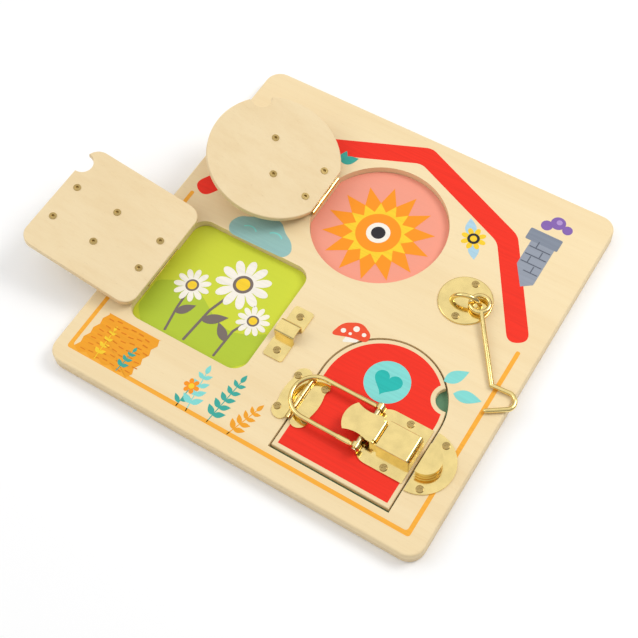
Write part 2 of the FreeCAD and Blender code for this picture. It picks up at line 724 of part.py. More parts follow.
def latch_lever():
    """Pressed lever with a rolled tail round its pin and two flanges for the bail's pin."""
    top = "board_thick + box_rise - lever_metal"
    pieces = [plate(lever_outline(), top, "lever_metal"),
              across("lever_axis_x", "lever_axis_rise", "0 - lever_barrel_half",
                     "lever_barrel_half", "box_rise - lever_axis_rise")]
    for side in (-1, 1):
        near = f"{side} * lever_flange_half - 0.6"
        pieces.append(box("bail_axis_x - 2.6", f"latch_y + {near}", "board_thick + bail_axis_rise",
                          "5.2", "1.2", "box_rise - bail_axis_rise - 0.5"))
        pieces.append(across("bail_axis_x", "bail_axis_rise", near, f"{near} + 1.2", "2.6"))
    bores = [across("lever_axis_x", "lever_axis_rise", "0 - 30", "30",
                    "hinge_pin_radius + running_gap"),
             across("bail_axis_x", "bail_axis_rise", "0 - 30", "30",
                    "hinge_pin_radius + running_gap")]
    finish("latch_lever", cut(fuse(*pieces), *bores))


def bail_pin():
    """Cross pin through the lever with a round head outside each bush."""
    pin = across("bail_axis_x", "bail_axis_rise", "0 - bush_outer - 0.4", "bush_outer + 0.4",
                 "hinge_pin_radius")
    heads = []
    for start in ("0 - bush_outer - 1.1", "bush_outer + 0.3"):
        heads.append(across("bail_axis_x", "bail_axis_rise", start, f"{start} + 0.8",
                            "bush_radius"))
    finish("bail_pin", fuse(pin, *heads))


def bail_bushes():
    """Two short tubes on the cross pin that the bail's eyes turn on."""
    bushes = []
    for side in (-1, 1):
        start = "bush_inner" if side > 0 else "0 - bush_outer"
        end = "bush_outer" if side > 0 else "0 - bush_inner"
        bore = across("bail_axis_x", "bail_axis_rise", f"{start} - 1", f"{end} + 1",
                      "hinge_pin_radius + running_gap")
        bushes.append(cut(across("bail_axis_x", "bail_axis_rise", start, end, "bush_radius"), bore))
    finish("bail_bushes", group(*bushes))


def latch_bail():
    """Long loop of wire: two straight legs joined by a half-round end."""
    half, radius, pivot = dim("bail_half"), dim("bail_wire_radius"), dim("bail_axis_x")
    y, z = dim("latch_y"), dim("board_thick") + dim("bail_axis_rise")
    bend = dim("bail_end_x") + half
    leg_end = pivot - dim("bush_radius") - 0.6
    path = [
        Part.LineSegment(Vector(leg_end, y - half, z), Vector(bend, y - half, z)).toShape(),
        Part.Arc(Vector(bend, y - half, z), Vector(bend - half, y, z),
                 Vector(bend, y + half, z)).toShape(),
        Part.LineSegment(Vector(bend, y + half, z), Vector(leg_end, y + half, z)).toShape(),
    ]
    along_y = Vector(0, 1, 0)
    wide = radius + 0.1
    pieces = [Part.makeCylinder(dim("bail_eye_radius"), 2 * wide,
                                Vector(pivot, y + side * half - wide, z), along_y)
              for side in (-1, 1)]
    pieces.append(Part.makeCylinder(radius + 0.4, 9, Vector(pivot - 14, y - half, z),
                                    Vector(1, 0, 0)))
    bore = Part.makeCylinder(dim("bush_radius") + dim("running_gap"), 60,
                             Vector(pivot, y - 30, z), along_y)
    whole = sweep_wire(path, radius).multiFuse(pieces).cut(bore)
    finish("latch_bail", shaped(whole.removeSplitter()))


def catch_slice(grow, low, high):
    """A D-shaped slice of the catch's boss, flat side towards the door."""
    x, y, radius = dim("catch_x"), dim("catch_y"), dim("catch_radius") + grow
    flat = dim("catch_flat_x")
    outline = closed_wire([
        line((flat, y - radius, low), (x, y - radius, low)),
        arc((x, y - radius, low), (x + radius, y, low), (x, y + radius, low)),
        line((x, y + radius, low), (flat, y + radius, low)),
        line((flat, y + radius, low), (flat, y - radius, low)),
    ])
    return Part.Face(outline).extrude(Vector(0, 0, high - low))


def latch_catch():
    """D-shaped plate with a necked boss that the bail drops round."""
    x, y, radius = dim("catch_plate_x"), dim("catch_y"), dim("catch_plate_radius")
    outline = [
        line((x, y + radius, 0), (x, y - radius, 0)),
        arc((x, y - radius, 0), (x + radius, y, 0), (x, y + radius, 0)),
    ]
    base = plate(outline, "board_thick", "sheet_metal")
    low, high = dim("board_thick"), dim("board_thick") + dim("catch_rise")
    under_lip = high - dim("catch_lip")
    steps = [catch_slice(0.8, low, low + 2), catch_slice(-0.4, low, low + 3.2),
             catch_slice(-1.4, low, under_lip), catch_slice(-0.6, under_lip - 0.8, high),
             catch_slice(0, under_lip, high)]
    boss = shaped(steps[0].multiFuse(steps[1:]).removeSplitter())
    holes = screw_holes(catch_places(), "board_thick - 1", "shank_radius", "sheet_metal + 2")
    finish("latch_catch", cut(fuse(base, boss), *holes))
    screw_set("catch_screws", catch_places(), "board_thick + sheet_metal", "wood_screw_length")


SQUARE_HINGE = (dim("square_axis_x"), dim("square_fittings_y"))
ROUND_HINGE = (dim("round_axis_x"), dim("round_y"))
BARN_HINGE = (dim("barn_axis_x"), dim("barn_hinge_y"))
HINGES = [SQUARE_HINGE, ROUND_HINGE, BARN_HINGE]
HINGE_NAMES = ["square", "round", "barn"]


def build():
    front_panel()
    back_panel()
    picture_cards()
    for name, (axis_x, y) in zip(HINGE_NAMES, HINGES):
        hinge_leaf(f"{name}_hinge_board_leaf", axis_x, y, -1)
        hinge_pin(f"{name}_hinge_pin", axis_x, y)
    leaf_places = [place for hinge in HINGES for place in hinge_screws(*hinge, -1)]
    screw_set("hinge_board_screws", leaf_places, "board_thick + sheet_metal", "wood_screw_length")
    square_door()
    bolt_plate()
    slide_bolt()
    bolt_keeper()
    round_door()
    hook_plate()
    swing_hook()
    barn_door()
    latch_base()
    latch_lever()
    bail_pin()
    bail_bushes()
    latch_bail()
    latch_catch()


def check_and_export():
    doc.recompute()
    broken = [o.Name for o in doc.Objects if "Invalid" in o.State or "Error" in o.State]
    if broken:
        raise RuntimeError(f"objects that failed: {broken}")
    os.makedirs("parts", exist_ok=True)
    for obj in finished:
        if obj.Shape.isNull() or not obj.Shape.isValid():
            raise RuntimeError(f"{obj.Label} has no valid shape")
        obj.Shape.exportStep(f"parts/{obj.Label}.step")
        print(f"{obj.Label:26s} solids {len(obj.Shape.Solids)} volume {obj.Shape.Volume:9.1f}")


build()
check_and_export()
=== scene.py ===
import math

import bmesh
import bpy
from mathutils import Matrix, Vector


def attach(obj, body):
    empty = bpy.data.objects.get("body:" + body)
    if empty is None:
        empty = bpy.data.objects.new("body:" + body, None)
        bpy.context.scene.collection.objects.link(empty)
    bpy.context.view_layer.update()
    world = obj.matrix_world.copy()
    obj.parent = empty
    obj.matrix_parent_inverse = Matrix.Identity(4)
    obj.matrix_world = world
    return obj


# Wooden busy board. Prints, wood grain, polished hardware, lights and camera for the
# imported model. Plans are in millimetres from the board's front left corner.

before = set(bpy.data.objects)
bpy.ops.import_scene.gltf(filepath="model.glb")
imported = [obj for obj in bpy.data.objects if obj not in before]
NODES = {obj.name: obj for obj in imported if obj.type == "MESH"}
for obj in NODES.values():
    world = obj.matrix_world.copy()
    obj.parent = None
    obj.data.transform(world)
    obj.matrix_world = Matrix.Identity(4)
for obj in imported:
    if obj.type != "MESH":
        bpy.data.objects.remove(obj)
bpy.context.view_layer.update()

MM = 0.001
HALF_BOARD = 150
BOARD_TOP = 12.0
PICTURE_TOP = 6.4

# A print's skin: each layer's height, the step between outlines of one layer, and how
# far it reaches down into the wood.
INK = 0.05
OUTLINE_STEP = 0.004
INK_SINK = 0.02

# How strongly the wood's fibres show through an ink.
BOARD_GRAIN = 0.12
CARD_GRAIN = 0.02

# The photograph's viewpoint: place in metres, angles in degrees, size in pixels.
CAMERA_PLACE = (0.2665, -0.3854, 0.7742)
CAMERA_AZIMUTH, CAMERA_ELEVATION, CAMERA_ROLL = 36.524, 59.824, -5.481
FOCAL_PIXELS = 1246.5
IMAGE_PIXELS = 638
SENSOR_MM = 36

PALE_WOOD = (0.880, 0.710, 0.430)
WARM_WOOD = (0.800, 0.600, 0.320)
BARN_RED = (0.880, 0.030, 0.012)
LINE_ORANGE = (0.930, 0.420, 0.040)
STRAW = (0.880, 0.360, 0.020)
STRAW_DARK = (0.720, 0.210, 0.010)
LIME = (0.600, 0.660, 0.045)
LIME_DARK = (0.440, 0.560, 0.040)
SALMON = (0.860, 0.330, 0.235)
SUN_ORANGE = (0.930, 0.300, 0.015)
SUN_YELLOW = (0.930, 0.620, 0.030)
CREAM = (0.910, 0.860, 0.760)
CHARCOAL = (0.028, 0.026, 0.030)
TAUPE = (0.190, 0.150, 0.130)
TEAL = (0.020, 0.480, 0.430)
TEAL_PALE = (0.230, 0.690, 0.640)
CLOUD_GREY = (0.300, 0.520, 0.490)
LEAF = (0.050, 0.400, 0.330)
STONE = (0.300, 0.330, 0.390)
STONE_DARK = (0.120, 0.135, 0.170)
PLUM = (0.240, 0.130, 0.420)
SKY = (0.420, 0.640, 0.760)
BARN_FLOOR = (0.130, 0.290, 0.170)
STONE_CAP = (0.230, 0.260, 0.320)
CAP_RED = (0.860, 0.085, 0.030)
PLUM_PALE = (0.450, 0.300, 0.620)
PORE_BROWN = (0.420, 0.260, 0.110)
FLOOR_WHITE = (0.970, 0.970, 0.970)


# Shader groups and materials

def new_group(name, inputs, outputs):
    """An empty shader group with its sockets, and its two end nodes."""
    tree = bpy.data.node_groups.new(name, "ShaderNodeTree")
    for label, kind, value in inputs:
        socket = tree.interface.new_socket(label, in_out="INPUT", socket_type=kind)
        socket.default_value = value
    for label, kind in outputs:
        tree.interface.new_socket(label, in_out="OUTPUT", socket_type=kind)
    return tree, tree.nodes.new("NodeGroupInput"), tree.nodes.new("NodeGroupOutput")


def noise(tree, vector, scale, detail=4.0, roughness=0.55):
    node = tree.nodes.new("ShaderNodeTexNoise")
    node.inputs["Scale"].default_value = scale
    node.inputs["Detail"].default_value = detail
    node.inputs["Roughness"].default_value = roughness
    tree.links.new(vector, node.inputs["Vector"])
    return node.outputs["Fac"]


def stretched(tree, scale, turn=(0, 0, 0)):
    """Object coordinates, stretched along the grain."""
    coordinates = tree.nodes.new("ShaderNodeTexCoord")
    mapping = tree.nodes.new("ShaderNodeMapping")
    mapping.inputs["Scale"].default_value = scale
    mapping.inputs["Rotation"].default_value = turn
    tree.links.new(coordinates.outputs["Object"], mapping.inputs["Vector"])
    return mapping.outputs["Vector"]


def remap(tree, value, low, high, to_low=0.0, to_high=1.0):
    node = tree.nodes.new("ShaderNodeMapRange")
    limits = (("From Min", low), ("From Max", high), ("To Min", to_low), ("To Max", to_high))
    for name, number in limits:
        node.inputs[name].default_value = number
    tree.links.new(value, node.inputs["Value"])
    return node.outputs["Result"]


def maths(tree, operation, a, b):
    node = tree.nodes.new("ShaderNodeMath")
    node.operation = operation
    for socket, value in zip(node.inputs, (a, b)):
        if isinstance(value, (int, float)):
            socket.default_value = value
        else:
            tree.links.new(value, socket)
    return node.outputs["Value"]


def mixed(tree, factor, a, b):
    node = tree.nodes.new("ShaderNodeMix")
    node.data_type = "RGBA"
    node.blend_type = "MIX"
    tree.links.new(factor, node.inputs["Factor"])
    for socket, value in ((node.inputs[6], a), (node.inputs[7], b)):
        if isinstance(value, tuple):
            socket.default_value = (*value, 1)
        else:
            tree.links.new(value, socket)
    return node.outputs[2]


def wood_grain_group():
    """Pale limewood: long soft bands, fine fibres and short pores along X."""
    tree, start, end = new_group(
        "wood_grain",
        [("Light", "NodeSocketColor", (*PALE_WOOD, 1)), ("Dark", "NodeSocketColor", (*WARM_WOOD, 1)),
         ("Contrast", "NodeSocketFloat", 1.0)],
        [("Color", "NodeSocketColor"), ("Roughness", "NodeSocketFloat"), ("Height", "NodeSocketFloat")])
    bands = noise(tree, stretched(tree, (3, 34, 60), (0, 0, 0.03)), 1.0, 3, 0.5)
    rings = noise(tree, stretched(tree, (7, 170, 240), (0, 0, 0.02)), 1.0, 4, 0.6)
    fibres = noise(tree, stretched(tree, (28, 900, 900)), 1.0, 3, 0.6)
    pores = noise(tree, stretched(tree, (140, 1500, 1500)), 1.0, 2, 0.5)
    banding = maths(tree, "MULTIPLY", remap(tree, bands, 0.42, 0.68), 0.38)
    ringing = maths(tree, "MULTIPLY", remap(tree, rings, 0.45, 0.72), 0.30)
    fibring = maths(tree, "MULTIPLY", remap(tree, fibres, 0.42, 0.70), 0.16)
    total = maths(tree, "ADD", maths(tree, "ADD", banding, ringing), fibring)
    total = maths(tree, "MULTIPLY", total, start.outputs["Contrast"])
    colour = mixed(tree, total, start.outputs["Light"], start.outputs["Dark"])
    pore_mask = remap(tree, pores, 0.66, 0.78, 0.0, 0.22)
    colour = mixed(tree, pore_mask, colour, PORE_BROWN)
    tree.links.new(colour, end.inputs["Color"])
    tree.links.new(remap(tree, fibres, 0.3, 0.75, 0.44, 0.58), end.inputs["Roughness"])
    tree.links.new(maths(tree, "SUBTRACT", fibres, pore_mask), end.inputs["Height"])
    return tree


def handling_group():
    """Fine scratches and finger marks: a small roughness change and a height."""
    tree, start, end = new_group(
        "handling_marks",
        [("Base Roughness", "NodeSocketFloat", 0.3), ("Amount", "NodeSocketFloat", 0.08)],
        [("Roughness", "NodeSocketFloat"), ("Height", "NodeSocketFloat")])
    smudge = noise(tree, stretched(tree, (90, 90, 90)), 1.0, 3, 0.6)
    hairline = noise(tree, stretched(tree, (260, 2600, 260), (0.2, 0.1, 0.6)), 1.0, 3, 0.5)
    spread = maths(tree, "ADD", remap(tree, smudge, 0.35, 0.65, -0.5, 0.5),
                   remap(tree, hairline, 0.4, 0.7, -0.3, 0.5))
    rough = maths(tree, "ADD", maths(tree, "MULTIPLY", spread, start.outputs["Amount"]),
                  start.outputs["Base Roughness"])
    tree.links.new(rough, end.inputs["Roughness"])
    tree.links.new(hairline, end.inputs["Height"])
    return tree


WOOD_GRAIN = wood_grain_group()
HANDLING = handling_group()


def new_material(name):
    material = bpy.data.materials.new(name)
    material.use_nodes = True
    tree = material.node_tree
    tree.nodes.clear()
    shader = tree.nodes.new("ShaderNodeBsdfPrincipled")
    output = tree.nodes.new("ShaderNodeOutputMaterial")
    tree.links.new(shader.outputs["BSDF"], output.inputs["Surface"])
    return material, tree, shader


def use_group(tree, group, **values):
    node = tree.nodes.new("ShaderNodeGroup")
    node.node_tree = group
    for name, value in values.items():
        node.inputs[name.replace("_", " ")].default_value = value
    return node


def bump(tree, shader, height, strength, distance):
    node = tree.nodes.new("ShaderNodeBump")
    node.inputs["Strength"].default_value = strength
    node.inputs["Distance"].default_value = distance
    tree.links.new(height, node.inputs["Height"])
    tree.links.new(node.outputs["Normal"], shader.inputs["Normal"])


def wood(name, light, dark, contrast):
    material, tree, shader = new_material(name)
    grain = use_group(tree, WOOD_GRAIN, Light=(*light, 1), Dark=(*dark, 1), Contrast=contrast)
    tree.links.new(grain.outputs["Color"], shader.inputs["Base Color"])
    tree.links.new(grain.outputs["Roughness"], shader.inputs["Roughness"])
    shader.inputs["Specular IOR Level"].default_value = 0.35
    bump(tree, shader, grain.outputs["Height"], 0.25, 0.0002)
    return material


def ink(name, colour, grain_through=BOARD_GRAIN):
    """Printed colour: the wood's fibres just show through it."""
    material, tree, shader = new_material(name)
    grain = use_group(tree, WOOD_GRAIN, Contrast=1.0)
    fibres = noise(tree, stretched(tree, (20, 500, 500)), 1.0, 3, 0.6)
    darker = tuple(0.80 * value for value in colour)
    shade = mixed(tree, remap(tree, fibres, 0.40, 0.72, 0.0, 4 * grain_through), colour, darker)
    tree.links.new(shade, shader.inputs["Base Color"])
    tree.links.new(grain.outputs["Roughness"], shader.inputs["Roughness"])
    shader.inputs["Specular IOR Level"].default_value = 0.2
    bump(tree, shader, grain.outputs["Height"], 0.15, 0.0001)
    return material


def metal(name, colour, roughness, marks_amount=0.07):
    material, tree, shader = new_material(name)
    marks = use_group(tree, HANDLING, Base_Roughness=roughness, Amount=marks_amount)
    tone = noise(tree, stretched(tree, (120, 120, 120)), 1.0, 2, 0.5)
    deeper = tuple(0.86 * value for value in colour)
    shade = mixed(tree, remap(tree, tone, 0.35, 0.7), colour, deeper)
    tree.links.new(shade, shader.inputs["Base Color"])
    tree.links.new(marks.outputs["Roughness"], shader.inputs["Roughness"])
    shader.inputs["Metallic"].default_value = 1.0
    bump(tree, shader, marks.outputs["Height"], 0.12, 0.0001)
    return material


BOARD_WOOD = wood("board_limewood", PALE_WOOD, WARM_WOOD, 0.85)
BACK_WOOD = wood("back_limewood", (0.800, 0.620, 0.360), (0.700, 0.490, 0.240), 1.0)
DOOR_WOOD = wood("door_limewood", (0.860, 0.690, 0.420), (0.780, 0.580, 0.310), 0.9)
BRASS = metal("bright_brass", (0.930, 0.730, 0.300), 0.12)
SCREW_BRASS = metal("screw_brass", (0.520, 0.370, 0.140), 0.22)
PIN_BRASS = metal("pin_brass", (0.700, 0.560, 0.300), 0.30)
INKS = {}


def ink_for(name, colour, grain_through=BOARD_GRAIN):
    if name not in INKS:
        INKS[name] = ink(name, colour, grain_through)
    return INKS[name]


def dress_cad_nodes():
    """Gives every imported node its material."""
    for name, obj in NODES.items():
        if name == "front_panel":
            material = BOARD_WOOD
        elif name == "back_panel":
            material = BACK_WOOD
        elif name.endswith("door_panel"):
            material = DOOR_WOOD
        elif name.endswith("picture_card"):
            material = CARD_INKS[name]
        elif "screws" in name or "nuts" in name:
            material = SCREW_BRASS
        elif name.endswith("_pin") or name == "bail_bushes":
            material = PIN_BRASS
        else:
            material = BRASS
        for slot in obj.material_slots:
            slot.material = material
        if not obj.material_slots:
            obj.data.materials.append(material)


CARD_INKS = {
    "square_picture_card": ink_for("lime_card", LIME, CARD_GRAIN),
    "round_picture_card": ink_for("salmon_card", SALMON, CARD_GRAIN),
    "barn_picture_card": ink_for("barn_floor_card", BARN_FLOOR, CARD_GRAIN),
}


# Outlines, in millimetres on the board's plan

def circle(x, y, radius, count=48):
    angles = [2 * math.pi * step / count for step in range(count)]
    return [(x + radius * math.cos(angle), y + radius * math.sin(angle)) for angle in angles]


def soft(corners, radii, steps=8):
    """A closed outline whose corners are rounded by the given reaches."""
    if isinstance(radii, (int, float)):
        radii = [radii] * len(corners)
    points = []
    for n, corner in enumerate(corners):
        here = Vector(corner)
        before, after = Vector(corners[n - 1]), Vector(corners[(n + 1) % len(corners)])
        reach = min(radii[n], 0.499 * (before - here).length, 0.499 * (after - here).length)
        if reach < 0.01:
            points.append(tuple(here))
            continue
        a = here + (before - here).normalized() * reach
        b = here + (after - here).normalized() * reach
        for step in range(steps + 1):
            t = step / steps
            points.append(tuple(a * (1 - t) ** 2 + here * 2 * t * (1 - t) + b * t * t))
    return points


def band(spine, width, end_round=None, corner_round=0.0):
    """A stroke of one width along a line of points, with mitred turns."""
    spine = [Vector(point) for point in spine]
    left, right = [], []
    for n, here in enumerate(spine):
        ahead = (spine[min(n + 1, len(spine) - 1)] - here)
        behind = (here - spine[max(n - 1, 0)])
        first = (behind if behind.length > 0 else ahead).normalized()
        second = (ahead if ahead.length > 0 else behind).normalized()
        middle = (first + second).normalized()
        normal = Vector((-middle.y, middle.x))
        reach = 0.5 * width / max(0.3, normal.dot(Vector((-first.y, first.x))))
        left.append(here + normal * reach)
        right.append(here - normal * reach)
    end_round = 0.5 * width if end_round is None else end_round
    radii = [end_round] + [corner_round] * (len(spine) - 2) + [end_round]
    return soft([tuple(p) for p in left + right[::-1]], radii + radii[::-1])


def arc_points(x, y, radius, first, last, steps=12):
    """Points along part of a circle, with its angles in degrees."""
    angles = [math.radians(first + (last - first) * step / steps) for step in range(steps + 1)]
    return [(x + radius * math.cos(angle), y + radius * math.sin(angle)) for angle in angles]


def leaf_shape(x, y, length, width, turn):
    """A pointed leaf that starts at x, y and points along turn."""
    points = []
    for side in (1, -1):
        for step in range(10):
            t = step / 10 if side > 0 else 1 - step / 10
            points.append((length * t, side * 0.5 * width * math.sin(math.pi * t**0.8)))
    c, s = math.cos(turn), math.sin(turn)
    return [(x + u * c - v * s, y + u * s + v * c) for u, v in points]


def petals(x, y, inner, outer, count, fullness=0.5, turn=0.0):
    """A flower's outline: rounded petals round a centre."""
    points = []
    steps = count * 12
    for step in range(steps):
        angle = 2 * math.pi * step / steps
        wave = abs(math.cos(0.5 * count * angle)) ** fullness
        radius = inner + (outer - inner) * wave
        points.append((x + radius * math.cos(angle + turn), y + radius * math.sin(angle + turn)))
    return points


def star_shape(x, y, inner, outer, count, turn=0.0):
    points = []
    for step in range(2 * count):
        radius = outer if step % 2 == 0 else inner
        angle = math.pi * step / count + turn
        points.append((x + radius * math.cos(angle), y + radius * math.sin(angle)))
    return points


def heart_shape(x, y, size, count=48):
    """The usual heart formula, which is 32 units wide before scaling."""
    points = []
    for step in range(count):
        t = 2 * math.pi * step / count
        u = 16 * math.sin(t) ** 3
        v = 13 * math.cos(t) - 5 * math.cos(2 * t) - 2 * math.cos(3 * t) - math.cos(4 * t)
        points.append((x + size * u / 32, y + size * v / 32))
    return points


# Printed pieces

def printed(name, shapes, colour, height=BOARD_TOP, layer=1, body="board"):
    """One ink of a print: closed outlines laid as a thin skin, higher for each layer."""
    mesh = bpy.data.meshes.new(name)
    builder = bmesh.new()
    low = height - INK_SINK
    for n, outline in enumerate(shapes):
        high = height + layer * INK + OUTLINE_STEP * n
        upper = [builder.verts.new(place_on_board(x, y, high)) for x, y in outline]
        lower = [builder.verts.new(place_on_board(x, y, low)) for x, y in outline]
        face = builder.faces.new(upper)
        face.normal_update()
        for first in range(len(upper)):
            after = (first + 1) % len(upper)
            builder.faces.new((upper[first], lower[first], lower[after], upper[after]))
    bmesh.ops.recalc_face_normals(builder, faces=builder.faces)
    for face in builder.faces:
        if len(face.verts) > 4 and face.normal.z < 0:
            face.normal_flip()
    builder.to_mesh(mesh)
    builder.free()
    piece = bpy.data.objects.new(name, mesh)
    bpy.context.scene.collection.objects.link(piece)
    mesh.materials.append(colour)
    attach(piece, body)


def picture_print(name, shapes, colour, layer):
    """A print on the floor of a recess."""
    printed(name, shapes, colour, PICTURE_TOP, layer)


def door_print(name, shapes, colour, layer=1):
    """A print on the barn door, which moves with it."""
    printed(name, shapes, colour, layer=layer, body="barn_door")


def place_on_board(x, y, z):
    return Vector(((x - HALF_BOARD) * MM, (y - HALF_BOARD) * MM, z * MM))


def house_lines():
    roof = [(14.0, 171), (61, 247.3), (148.6, 284), (236, 247.3), (282.5, 174)]
    printed("roof_band", [band(roof, 15.5, corner_round=5)], ink_for("roof_red", BARN_RED))
    wall = [(11.4, 168), (11.4, 14), (286, 14), (286, 168)]
    printed("wall_line", [band(wall, 3.2, corner_round=2.5)], ink_for("line_orange", LINE_ORANGE))


def chimney():
    """Grey stack with a cap course and rows of darker joints."""
    stack = [(262.5, 215.5), (270, 221), (270, 256), (251.5, 256), (251.5, 232)]
    cap = soft([(246.5, 254.5), (272, 254.5), (272, 265), (246.5, 265)], 1.2)
    printed("chimney_stack", [stack], ink_for("stone", STONE), layer=2)
    printed("chimney_cap", [cap], ink_for("stone_cap", STONE_CAP), layer=3)
    joints = []
    for row, y in enumerate((229, 236, 243, 250)):
        left = 252.5 if y > 233 else 258
        joints.append(band([(left, y), (269, y)], 0.8, 0))
        x = 257.5 if row % 2 else 263.5
        joints.append(band([(x, y + 0.6), (x, y + 6)], 0.8, 0))
    printed("chimney_joints", joints, ink_for("stone_joints", STONE_DARK), layer=4)


def straw_patch():
    """A plain patch of straw with short hatched stalks and a ragged lower edge."""
    edge = [(20.6, 49.6), (65.7, 49.4)]
    steps = 9
    for step in range(steps):
        t = step / (steps - 1)
        edge.append((65.2 - 3.6 * t + (1.5 if step % 2 else -0.6), 49.0 - 36 * t))
    for step in range(10):
        t = step / 9
        edge.append((61.6 - 47 * t, 13.2 + (2.2 if step % 2 else -0.4)))
    for step in range(8):
        t = step / 7
        edge.append((14.4 + 5.4 * t + (1.4 if step % 2 else -0.3), 15.4 + 33 * t))
    printed("straw_patch", [edge], ink_for("straw", STRAW), layer=2)
    stalks = []
    for row in range(7):
        for column in range(7):
            x = 19 + column * 6.4 + 2.0 * (row % 2) + 0.7 * row
            y = 16.5 + row * 4.9 + 1.1 * math.sin(2.3 * column + row)
            if x < 61:
                stalks.append(band([(x, y), (x + 4.2, y + 0.5 * math.sin(row + column))], 0.7, 0.3))
    printed("straw_stalks", stalks, ink_for("straw_dark", STRAW_DARK), layer=3)


def sprig(x, y, length, turn, pairs, leaf, width):
    """A stem with leaves in pairs, all as outlines of one ink."""
    tip = (x + length * math.cos(turn), y + length * math.sin(turn))
    shapes = [band([(x, y), tip], 0.7, 0.3)]
    for n in range(pairs):
        t = (n + 1) / (pairs + 0.6)
        foot = (x + t * length * math.cos(turn), y + t * length * math.sin(turn))
        size = leaf * (1.1 - 0.45 * t)
        for side in (-1, 1):
            shapes.append(leaf_shape(foot[0], foot[1], size, width * size / leaf, turn + side * 0.95))
    shapes.append(leaf_shape(tip[0], tip[1], 0.8 * leaf, 0.8 * width, turn))
    return shapes


def meadow():
    teal, pale = ink_for("leaf_teal", LEAF), ink_for("leaf_pale", TEAL_PALE)
    printed("sprig_left", sprig(112, 13, 31, math.radians(97), 4, 9.5, 4.6), pale)
    printed("sprig_middle", sprig(129, 13.5, 37, math.radians(84), 5, 9.0, 4.4), teal)
    printed("sprig_right", sprig(146, 13, 26, math.radians(72), 4, 8.5, 4.0),
            ink_for("leaf_yellow", STRAW))
    printed("sprig_on_straw", sprig(33, 14, 25, math.radians(92), 4, 5.5, 3.0),
            ink_for("straw_leaf", SUN_YELLOW), layer=4)
    printed("sprig_by_straw", sprig(52, 14, 18, math.radians(84), 3, 6.0, 3.2), teal, layer=4)
    stem = [band([(104, 13), (104.7, 29)], 0.8, 0.3),
            leaf_shape(104.2, 18, 8, 3.4, math.radians(40)),
            leaf_shape(104.2, 16, 8, 3.4, math.radians(140))]
    printed("flower_stem", stem, teal)
    printed("flower_petals", [petals(104.7, 31, 2.6, 6.0, 6, 0.6)],
            ink_for("petal_orange", SUN_ORANGE), layer=2)
    printed("flower_middle", [circle(104.7, 31, 2.1, 24)],
            ink_for("petal_yellow", SUN_YELLOW), layer=3)
    printed("leaf_by_barn_1", [leaf_shape(252.5, 122, 19, 9.5, math.radians(52))], pale)
    printed("leaf_by_barn_2", [leaf_shape(262.5, 117, 20, 9.5, math.radians(12))], pale, layer=2)
    pair = [leaf_shape(94, 247, 14, 8, math.radians(40)),
            leaf_shape(94, 247, 11, 6, math.radians(95))]
    printed("leaf_by_roof", pair, teal, layer=2)


def cloud():
    """A plain puffed cloud beside the doors."""
    shape = soft([(56, 150), (103, 151), (106, 158), (101, 166), (93, 170), (85, 178), (72, 178),
                  (63, 170), (55, 167), (51, 158)], 7)
    printed("cloud_shape", [shape], ink_for("cloud_teal", CLOUD_GREY))
    curls = [band(arc_points(x, y, 7, 40, 140), 1.1) for x, y in ((68, 156), (88, 160))]
    printed("cloud_curls", curls, ink_for("cloud_pale", TEAL_PALE), layer=2)


def toadstool():
    """Spotted red cap on a short cream stalk, beside the barn."""
    stalk = soft([(176, 113), (186, 118), (184.5, 126), (177, 123)], 2)
    cap = soft([(165.5, 114), (169, 127), (181, 133.5), (191.5, 128), (192, 121), (179, 119)], 5)
    printed("toadstool_stalk", [stalk], ink_for("cream", CREAM))
    printed("toadstool_cap", [cap], ink_for("cap_red", CAP_RED), layer=2)
    spots = [circle(172.5, 121.5, 1.9, 20), circle(180, 127, 2.3, 20),
             circle(187, 125.5, 1.6, 20), circle(178, 121.6, 1.2, 16)]
    printed("toadstool_spots", spots, ink_for("cream", CREAM), layer=3)


def small_flower():
    """Yellow flower with a dark eye and two pale leaves."""
    x, y = 214.7, 235
    leaves = [leaf_shape(212, 236, 16, 8.5, math.radians(118)),
              leaf_shape(216, 232, 15, 8, math.radians(-60))]
    yellow = ink_for("petal_yellow", SUN_YELLOW)
    printed("flower_leaves", leaves, ink_for("sky", SKY))
    printed("small_flower_petals", [petals(x, y, 4.0, 9.6, 8, 0.7)], yellow, layer=2)
    printed("small_flower_ring", [circle(x, y, 4.6, 32)], ink_for("charcoal", CHARCOAL), layer=3)
    printed("small_flower_middle", [circle(x, y, 2.6, 24)], yellow, layer=4)


def smoke_puff():
    """Three round puffs over the chimney."""
    puffs = [circle(255.5, 272, 4.4, 32), circle(262, 277.5, 5.6, 32), circle(270.5, 275, 3.8, 32)]
    for n, puff in enumerate(puffs):
        printed(f"smoke_puff_{n + 1}", [puff], ink_for("plum", PLUM), layer=1 + n)
    printed("puff_light", [circle(262.5, 278.5, 2.2, 24)], ink_for("plum_pale", PLUM_PALE), layer=4)


def daisy(name, x, y, size, turn=0.0):
    shades = (("petals", petals(x, y, 0.42 * size, size, 11, 0.55, turn), "cream", CREAM, CARD_GRAIN),
              ("ring", circle(x, y, 0.36 * size, 32), "taupe", TAUPE, CARD_GRAIN),
              ("middle", circle(x, y, 0.25 * size, 28), "petal_yellow", SUN_YELLOW, BOARD_GRAIN))
    for step, (part, outline, label, colour, grain) in enumerate(shades):
        picture_print(f"{name}_{part}", [outline],
                      ink_for(label, colour, grain), 4 + step)


